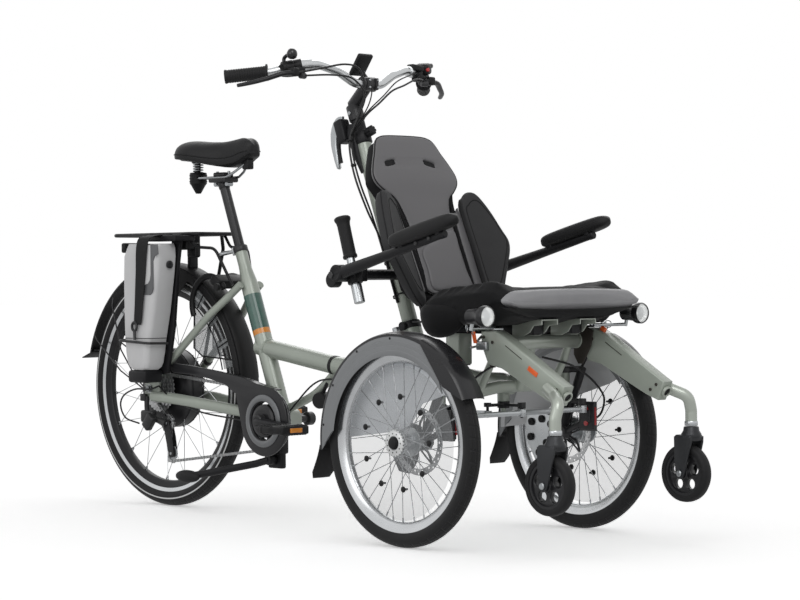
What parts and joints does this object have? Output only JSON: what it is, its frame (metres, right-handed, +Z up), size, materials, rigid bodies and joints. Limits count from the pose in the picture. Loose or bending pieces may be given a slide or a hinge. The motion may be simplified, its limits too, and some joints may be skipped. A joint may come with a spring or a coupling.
{
  "type": "wheelchair bike",
  "caption": "Tricycle-type wheelchair bike: seat with castor arms between two steered front wheels, joined to a pedal-driven motor-hub rear half with saddle, battery and carrier.",
  "frame": {"origin": "on the floor, in the middle of the whole object's length and width", "axes": "+X forward towards the castors, +Y to the rider's left, +Z up"},
  "size_m": [2.0913, 0.717, 1.1963],
  "materials": {
    "alloy": "brushed and polished aluminium",
    "battery_grey": "silver-grey moulded plastic",
    "black_metal": "black powder coat and anodising",
    "black_plastic": "moulded black plastic",
    "grey_plastic": "moulded dark-grey plastic",
    "lamp": "clear lens on a black housing",
    "rubber": "black rubber",
    "sage_paint": "satin grey-green powder coat",
    "soft_black": "black upholstery",
    "soft_grey": "grey upholstery",
    "steel": "zinc-plated steel",
    "tyre_rubber": "black tyre rubber"
  },
  "bodies": {
    "frame": {"main_frame": "sage_paint", "rear_stay_right": "sage_paint", "rear_stay_left": "sage_paint", "front_frame": "sage_paint", "castor_arm_right": "sage_paint", "castor_arm_left": "sage_paint", "rear_mudguard": "black_plastic", "carrier": "black_metal", "battery": "battery_grey", "chain_guard": "grey_plastic", "chain": "steel", "derailleur": "black_metal", "rear_axle": "steel", "seat_frame": "black_metal", "seat_cushion": "soft_grey", "backrest": "soft_grey", "back_wing_right": "soft_black", "back_wing_left": "soft_black", "headlight_right": "lamp", "headlight_left": "lamp"},
    "steering": {"steering_column": "sage_paint", "stem": "black_metal", "handlebar": "alloy", "grip_right": "rubber", "grip_left": "rubber", "display": "black_plastic", "handlebar_cables": "rubber"},
    "parking_lever": {"parking_lever": "alloy"},
    "brake_lever_right": {"brake_lever_right": "black_metal"},
    "brake_lever_left": {"brake_lever_left": "black_metal"},
    "drag_link": {"drag_link": "steel"},
    "centre_arm": {"centre_arm": "steel"},
    "tie_rod": {"tie_rod": "alloy"},
    "knuckle_right": {"knuckle_right": "black_metal", "fender_right": "grey_plastic"},
    "knuckle_left": {"knuckle_left": "black_metal", "fender_left": "grey_plastic"},
    "front_wheel_right": {"front_wheel_right": "alloy", "front_tyre_right": "tyre_rubber"},
    "front_wheel_left": {"front_wheel_left": "alloy", "front_tyre_left": "tyre_rubber"},
    "rear_wheel": {"rear_wheel": "black_metal", "rear_tyre": "tyre_rubber"},
    "cassette": {"cassette": "steel"},
    "crankset": {"crankset": "black_metal"},
    "pedal_right": {"pedal_right": "black_plastic"},
    "pedal_left": {"pedal_left": "black_plastic"},
    "kickstand": {"kickstand": "black_metal"},
    "castor_fork_right": {"castor_fork_right": "black_metal"},
    "castor_fork_left": {"castor_fork_left": "black_metal"},
    "castor_wheel_right": {"castor_wheel_right": "rubber"},
    "castor_wheel_left": {"castor_wheel_left": "rubber"},
    "armrest_right": {"armrest_right": "black_plastic"},
    "armrest_left": {"armrest_left": "black_plastic"},
    "push_handle_right": {"push_handle_right": "rubber"},
    "push_handle_left": {"push_handle_left": "rubber"},
    "seat_post": {"seat_post": "black_metal", "saddle": "soft_black", "saddle_rails": "black_metal"},
    "seat_clamp_lever": {"seat_clamp_lever": "black_metal"}
  },
  "joints": [
    {"name": "steering", "type": "hinge", "parent": "frame", "child": "steering", "pos_m": [0.29075, 0, 0.5], "axis": [-0.3453, 0, 0.9385], "range_deg": [-20, 20]},
    {"name": "drag_link_turn", "type": "hinge", "parent": "steering", "child": "drag_link", "pos_m": [0.29213, -0.055, 0.49625], "axis": [-0.3453, 0, 0.9385], "range_deg": [-20, 20]},
    {"name": "centre_arm_turn", "type": "hinge", "parent": "frame", "child": "centre_arm", "pos_m": [0.60575, 0, 0.304], "axis": [0, 0, 1], "range_deg": [-20, 20]},
    {"name": "tie_rod_turn", "type": "hinge", "parent": "centre_arm", "child": "tie_rod", "pos_m": [0.66575, 0, 0.304], "axis": [0, 0, 1], "range_deg": [-20, 20]},
    {"name": "knuckle_turn_right", "type": "hinge", "parent": "frame", "child": "knuckle_right", "pos_m": [0.60575, -0.215, 0.362], "axis": [0, 0, 1], "range_deg": [-20, 20]},
    {"name": "knuckle_turn_left", "type": "hinge", "parent": "frame", "child": "knuckle_left", "pos_m": [0.60575, 0.215, 0.362], "axis": [0, 0, 1], "range_deg": [-20, 20]},
    {"name": "front_wheel_spin_right", "type": "hinge", "parent": "knuckle_right", "child": "front_wheel_right", "pos_m": [0.57575, -0.305, 0.245], "axis": [0, 1, 0], "continuous": true},
    {"name": "front_wheel_spin_left", "type": "hinge", "parent": "knuckle_left", "child": "front_wheel_left", "pos_m": [0.57575, 0.305, 0.245], "axis": [0, 1, 0], "continuous": true},
    {"name": "rear_wheel_spin", "type": "hinge", "parent": "frame", "child": "rear_wheel", "pos_m": [-0.67625, 0, 0.3265], "axis": [0, 1, 0], "continuous": true},
    {"name": "crank_turn", "type": "hinge", "parent": "frame", "child": "crankset", "pos_m": [-0.19625, 0, 0.255], "axis": [0, 1, 0], "continuous": true},
    {"name": "cassette_turn", "type": "hinge", "parent": "frame", "child": "cassette", "pos_m": [-0.67625, 0, 0.3265], "axis": [0, 1, 0], "continuous": true},
    {"name": "pedal_turn_right", "type": "hinge", "parent": "crankset", "child": "pedal_right", "pos_m": [-0.02666, -0.15, 0.24314], "axis": [0, 1, 0], "continuous": true},
    {"name": "pedal_turn_left", "type": "hinge", "parent": "crankset", "child": "pedal_left", "pos_m": [-0.36584, 0.15, 0.26686], "axis": [0, 1, 0], "continuous": true},
    {"name": "kickstand_fold", "type": "hinge", "parent": "frame", "child": "kickstand", "pos_m": [-0.22425, -0.022, 0.15], "axis": [0, -1, 0], "range_deg": [0, 17]},
    {"name": "castor_swivel_right", "type": "hinge", "parent": "frame", "child": "castor_fork_right", "pos_m": [0.99175, -0.236, 0.285], "axis": [0, 0, 1], "continuous": true},
    {"name": "castor_spin_right", "type": "hinge", "parent": "castor_fork_right", "child": "castor_wheel_right", "pos_m": [0.97575, -0.236, 0.163], "axis": [0, 1, 0], "continuous": true},
    {"name": "castor_swivel_left", "type": "hinge", "parent": "frame", "child": "castor_fork_left", "pos_m": [0.99175, 0.236, 0.285], "axis": [0, 0, 1], "continuous": true},
    {"name": "castor_spin_left", "type": "hinge", "parent": "castor_fork_left", "child": "castor_wheel_left", "pos_m": [0.97575, 0.236, 0.163], "axis": [0, 1, 0], "continuous": true},
    {"name": "armrest_fold_right", "type": "hinge", "parent": "frame", "child": "armrest_right", "pos_m": [0.29075, -0.257, 0.636], "axis": [0, -1, 0], "range_deg": [0, 100]},
    {"name": "armrest_fold_left", "type": "hinge", "parent": "frame", "child": "armrest_left", "pos_m": [0.29075, 0.257, 0.636], "axis": [0, -1, 0], "range_deg": [0, 100]},
    {"name": "push_handle_slide_right", "type": "slide", "parent": "frame", "child": "push_handle_right", "axis": [-0.2874, 0, 0.9578], "range_m": [0, 0.1]},
    {"name": "push_handle_slide_left", "type": "slide", "parent": "frame", "child": "push_handle_left", "axis": [-0.2874, 0, 0.9578], "range_m": [0, 0.1]},
    {"name": "seat_post_slide", "type": "slide", "parent": "frame", "child": "seat_post", "axis": [-0.36, 0, 0.933], "range_m": [-0.08, 0.06]},
    {"name": "seat_clamp_open", "type": "hinge", "parent": "frame", "child": "seat_clamp_lever", "pos_m": [-0.39663, 0, 0.70095], "axis": [-0.36, 0, 0.933], "range_deg": [0, 90]},
    {"name": "brake_squeeze_right", "type": "hinge", "parent": "steering", "child": "brake_lever_right", "pos_m": [0.12377, -0.236, 1.137], "axis": [0, 0, -1], "range_deg": [0, 12], "stiffness_Nm_per_rad": 1.5, "springref_deg": -5.73},
    {"name": "brake_squeeze_left", "type": "hinge", "parent": "steering", "child": "brake_lever_left", "pos_m": [0.12377, 0.236, 1.137], "axis": [0, 0, 1], "range_deg": [0, 12], "stiffness_Nm_per_rad": 1.5, "springref_deg": -5.73},
    {"name": "parking_brake_pull", "type": "hinge", "parent": "steering", "child": "parking_lever", "pos_m": [0.05875, -0.02, 1.01646], "axis": [0, 1, 0], "range_deg": [0, 34]}
  ],
  "couplings": [
    {"joint": "drag_link_turn", "follows": "steering", "ratio": -1},
    {"joint": "centre_arm_turn", "follows": "steering", "ratio": 1},
    {"joint": "tie_rod_turn", "follows": "steering", "ratio": -1},
    {"joint": "knuckle_turn_right", "follows": "steering", "ratio": 1},
    {"joint": "knuckle_turn_left", "follows": "steering", "ratio": 1},
    {"joint": "cassette_turn", "follows": "crank_turn", "ratio": 1.7258}
  ]
}
